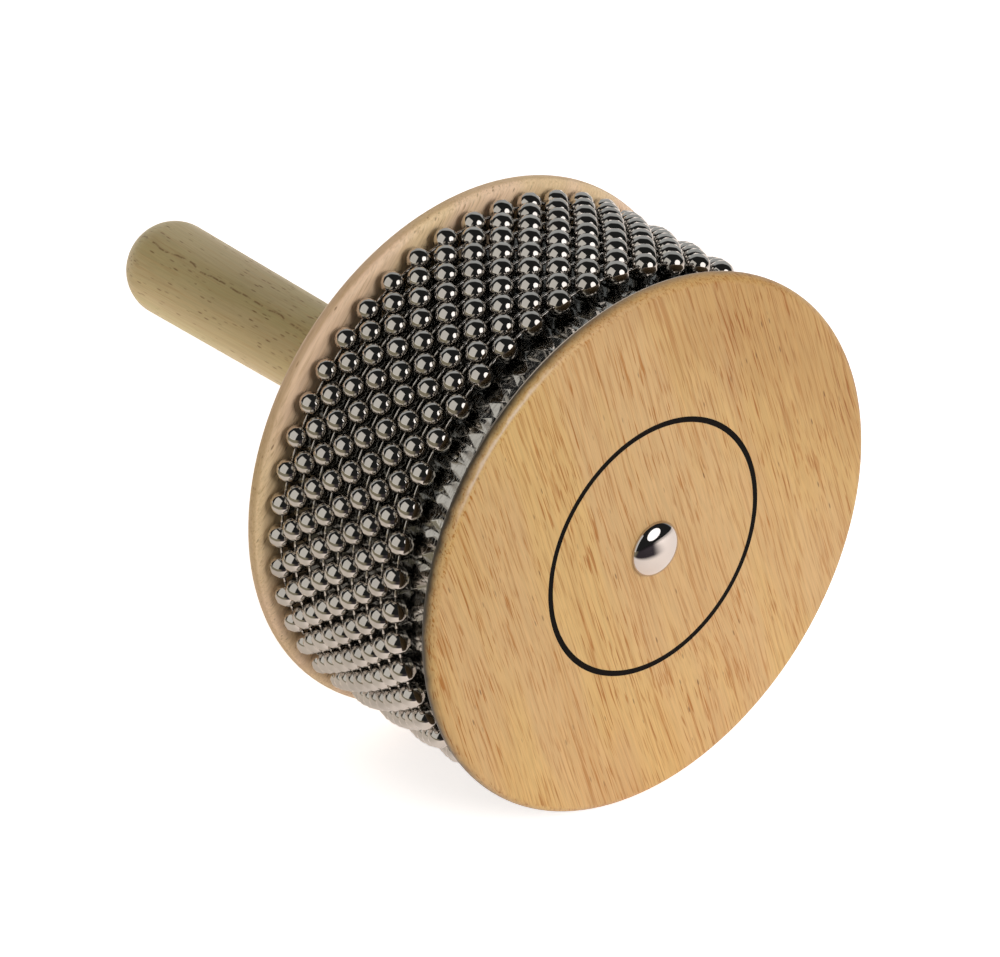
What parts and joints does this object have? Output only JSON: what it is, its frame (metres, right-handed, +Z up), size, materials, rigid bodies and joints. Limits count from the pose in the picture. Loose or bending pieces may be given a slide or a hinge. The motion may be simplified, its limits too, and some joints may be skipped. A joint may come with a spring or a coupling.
{
  "type": "cabasa",
  "caption": "Hand-held cabasa: loops of steel ball chain turn round a textured steel sleeve between two wooden discs on a handle.",
  "frame": {"origin": "centre of the bounding box in plan, on the plane that both discs stand on", "axes": "the drum's axis is level and lies along Y: -Y is the front disc's outer face with the bolt, +Y is the handle's tip, +Z is up, and both discs rest on flat sides that face -Z"},
  "size_m": [0.114, 0.1622, 0.114],
  "materials": {
    "front_disc_wood": "clear varnish over golden straight-grained wood",
    "pale_wood": "thin satin varnish over pale wood with short dark flecks",
    "core_wood": "bare sawn wood, hidden",
    "sleeve_steel": "bright stainless sheet embossed with low points",
    "bead_steel": "polished nickel plate",
    "bolt_chrome": "polished plate",
    "insert_brass": "plain turned, hidden"
  },
  "bodies": {
    "drum_and_handle": {"front_disc": "front_disc_wood", "back_disc": "pale_wood", "drum_core": "core_wood", "steel_sleeve": "sleeve_steel", "handle": "pale_wood", "handle_insert": "insert_brass", "carriage_bolt": "bolt_chrome"},
    "loop_1": {"bead_loop_1": "bead_steel"},
    "loop_2": {"bead_loop_2": "bead_steel"},
    "loop_3": {"bead_loop_3": "bead_steel"},
    "loop_4": {"bead_loop_4": "bead_steel"},
    "loop_5": {"bead_loop_5": "bead_steel"},
    "loop_6": {"bead_loop_6": "bead_steel"},
    "loop_7": {"bead_loop_7": "bead_steel"},
    "loop_8": {"bead_loop_8": "bead_steel"},
    "loop_9": {"bead_loop_9": "bead_steel"}
  },
  "joints": [
    {"name": "chain_spin", "type": "hinge", "parent": "drum_and_handle", "child": "loop_1", "pos_m": [0, 0, 0.057], "axis": [0, 1, 0], "continuous": true},
    {"name": "loop_2_shift", "type": "slide", "parent": "loop_1", "child": "loop_2", "axis": [0, -1, 0], "range_m": [0, 0.00095]},
    {"name": "loop_3_shift", "type": "slide", "parent": "loop_1", "child": "loop_3", "axis": [0, -1, 0], "range_m": [0, 0.0019]},
    {"name": "loop_4_shift", "type": "slide", "parent": "loop_1", "child": "loop_4", "axis": [0, -1, 0], "range_m": [0, 0.00285]},
    {"name": "loop_5_shift", "type": "slide", "parent": "loop_1", "child": "loop_5", "axis": [0, -1, 0], "range_m": [0, 0.0038]},
    {"name": "loop_6_shift", "type": "slide", "parent": "loop_1", "child": "loop_6", "axis": [0, -1, 0], "range_m": [0, 0.00475]},
    {"name": "loop_7_shift", "type": "slide", "parent": "loop_1", "child": "loop_7", "axis": [0, -1, 0], "range_m": [0, 0.0057]},
    {"name": "loop_8_shift", "type": "slide", "parent": "loop_1", "child": "loop_8", "axis": [0, -1, 0], "range_m": [0, 0.00665]},
    {"name": "loop_9_shift", "type": "slide", "parent": "loop_1", "child": "loop_9", "axis": [0, -1, 0], "range_m": [0, 0.0076]}
  ],
  "couplings": [
    {"joint": "loop_2_shift", "follows": "loop_9_shift", "ratio": 0.125},
    {"joint": "loop_3_shift", "follows": "loop_9_shift", "ratio": 0.25},
    {"joint": "loop_4_shift", "follows": "loop_9_shift", "ratio": 0.375},
    {"joint": "loop_5_shift", "follows": "loop_9_shift", "ratio": 0.5},
    {"joint": "loop_6_shift", "follows": "loop_9_shift", "ratio": 0.625},
    {"joint": "loop_7_shift", "follows": "loop_9_shift", "ratio": 0.75},
    {"joint": "loop_8_shift", "follows": "loop_9_shift", "ratio": 0.875}
  ]
}
